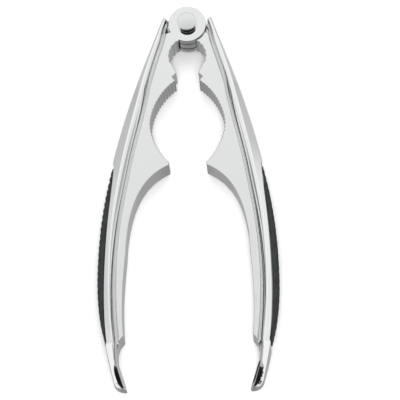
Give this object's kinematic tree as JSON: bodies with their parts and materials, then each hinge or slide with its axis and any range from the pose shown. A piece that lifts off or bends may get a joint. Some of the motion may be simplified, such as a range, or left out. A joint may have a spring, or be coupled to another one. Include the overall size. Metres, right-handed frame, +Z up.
{
  "type": "plier nutcracker",
  "caption": "Chrome plier nutcracker with two hinged arms, a small and a large toothed nut pocket between them, and black ribbed grip pads on the handles.",
  "frame": {"origin": "on the pivot axis, at the flat rear face of the pivot pin, in the plane that the tool lies on", "axes": "+Y from the handles to the hinge, +X to the right arm as seen from the front, +Z up along the pivot axis"},
  "size_m": [0.081, 0.1785, 0.0197],
  "materials": {
    "arm_chrome": "bright chrome plate on a zinc casting",
    "grip_rubber": "matt moulded rubber with small nubs",
    "pin_steel": "plated steel with a fine turned face",
    "washer_nylon": "matt black"
  },
  "bodies": {
    "left_half": {"left_arm": "arm_chrome", "left_grip": "grip_rubber", "pivot_pin": "pin_steel", "pin_collar": "pin_steel", "front_washer": "washer_nylon", "rear_washer": "washer_nylon"},
    "right_half": {"right_arm": "arm_chrome", "right_grip": "grip_rubber"}
  },
  "joints": [
    {"name": "arm_hinge", "type": "hinge", "parent": "left_half", "child": "right_half", "pos_m": [0, 0, 0.0095], "axis": [0, 0, 1], "range_deg": [-14, 30]}
  ]
}
